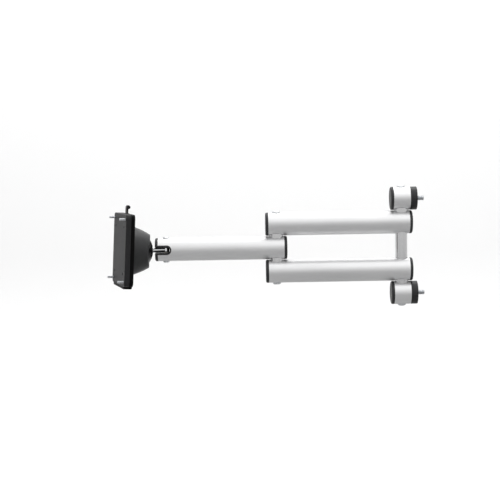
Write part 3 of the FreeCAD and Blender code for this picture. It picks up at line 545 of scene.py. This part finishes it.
def latch_grip():
    """Ribs moulded along the latch's bead, where a finger pulls it."""
    shape = bmesh.new()
    rows = [(-RIB_HALF_LENGTH - RIB_R, 0.0)]
    for end in (-1, 1):
        for step in range(EDGE_STEPS + 1):
            angle = math.radians(90.0 * (step if end < 0 else EDGE_STEPS - step) / EDGE_STEPS)
            distance = end * (RIB_HALF_LENGTH + RIB_R * math.cos(angle))
            rows.append((distance, max(RIB_R * math.sin(angle), SMALLEST_RADIUS)))
    rows.append((RIB_HALF_LENGTH + RIB_R, 0.0))
    for degrees in RIB_ANGLES:
        angle = math.radians(degrees)
        ahead = BEAD_AHEAD - BEAD_R * math.sin(angle)
        up = BEAD_HEIGHT + PLATE_RISE + BEAD_R * math.cos(angle)
        add_turned(shape, rows, frame_at(head_point(ahead, 0.0, up), head_side, head_up))
    add_piece("latch_grip_ribs", shape, "latch_black", "latch")


for node_name in frame["nodes"]:
    finish_cad_node(node_name)
column_bolts()
screen_screws()
latch_grip()


# Stage, camera and light

def make_stage():
    """Pale grey floor that curves up into a white wall."""
    profile = [(STAGE_FRONT, FLOOR_Z)]
    for step in range(COVE_STEPS + 1):
        angle = math.radians(90.0 * step / COVE_STEPS)
        profile.append((
            STAGE_BACK - STAGE_COVE_R + STAGE_COVE_R * math.sin(angle),
            FLOOR_Z + STAGE_COVE_R - STAGE_COVE_R * math.cos(angle),
        ))
    profile.append((STAGE_BACK, STAGE_TOP))
    mesh = bpy.data.meshes.new("stage")
    points = [(side * STAGE_HALF_WIDTH, y, z) for y, z in profile for side in (-1, 1)]
    faces = [(2 * i, 2 * i + 1, 2 * i + 3, 2 * i + 2) for i in range(len(profile) - 1)]
    mesh.from_pydata(points, [], faces)
    for polygon in mesh.polygons:
        polygon.use_smooth = True
    stage = bpy.data.objects.new("stage", mesh)
    bpy.context.scene.collection.objects.link(stage)
    s = Shader("stage_paint")
    s.set(specular=0.1)
    s.surface.inputs["Roughness"].default_value = PAINT_ROUGHNESS
    split = s.nodes.new("ShaderNodeSeparateXYZ")
    s.links.new(s.place, split.inputs["Vector"])
    up_the_cove = s.ramp(split.outputs["Z"], FLOOR_Z, FLOOR_Z + WHITE_FROM_HEIGHT, 0.0, 1.0)
    s.colour(s.blend_colours(up_the_cove, (FLOOR_GREY,) * 3, (WALL_WHITE,) * 3))
    mesh.materials.append(s.material)


def make_camera():
    """Camera that looks along +Y, but for its small yaw, pitch and roll."""
    data = bpy.data.cameras.new("camera")
    data.sensor_width = SENSOR_WIDTH
    data.lens = LENS
    data.clip_start = CLIP_START
    data.clip_end = CLIP_END
    camera = bpy.data.objects.new("camera", data)
    bpy.context.scene.collection.objects.link(camera)
    level = math.cos(CAMERA_PITCH)
    ahead = Vector((math.sin(CAMERA_YAW) * level, math.cos(CAMERA_YAW) * level, math.sin(CAMERA_PITCH)))
    camera.location = CAMERA_AT
    camera.rotation_mode = "QUATERNION"
    roll = Matrix.Rotation(CAMERA_ROLL, 4, "Z").to_quaternion()
    camera.rotation_quaternion = ahead.to_track_quat("-Z", "Y") @ roll
    bpy.context.scene.camera = camera


def area_light(name, at, target, size, power):
    """Soft rectangular light that faces its target."""
    data = bpy.data.lights.new(name, "AREA")
    data.shape = "RECTANGLE"
    data.size, data.size_y = size
    data.energy = power
    light = bpy.data.objects.new(name, data)
    light.location = at
    light.rotation_euler = (Vector(target) - Vector(at)).to_track_quat("-Z", "Y").to_euler()
    bpy.context.scene.collection.objects.link(light)


def make_world():
    """Even studio surroundings, brighter overhead than underneath."""
    world = bpy.data.worlds.new("studio")
    world.use_nodes = True
    nodes = world.node_tree.nodes
    links = world.node_tree.links
    direction = nodes.new("ShaderNodeTexCoord").outputs["Generated"]
    split = nodes.new("ShaderNodeSeparateXYZ")
    links.new(direction, split.inputs["Vector"])
    brightness = nodes.new("ShaderNodeMapRange")
    brightness.inputs["From Min"].default_value = -1.0
    brightness.inputs["To Min"].default_value = WORLD_BELOW
    brightness.inputs["To Max"].default_value = WORLD_ABOVE
    links.new(split.outputs["Z"], brightness.inputs["Value"])
    background = nodes["Background"]
    background.inputs["Color"].default_value = (1.0, 1.0, 1.0, 1.0)
    links.new(brightness.outputs["Result"], background.inputs["Strength"])
    bpy.context.scene.world = world


make_stage()
make_camera()
make_world()
for light_name, light in AREA_LIGHTS.items():
    area_light(light_name, **light)
bpy.context.scene.view_settings.view_transform = "Standard"
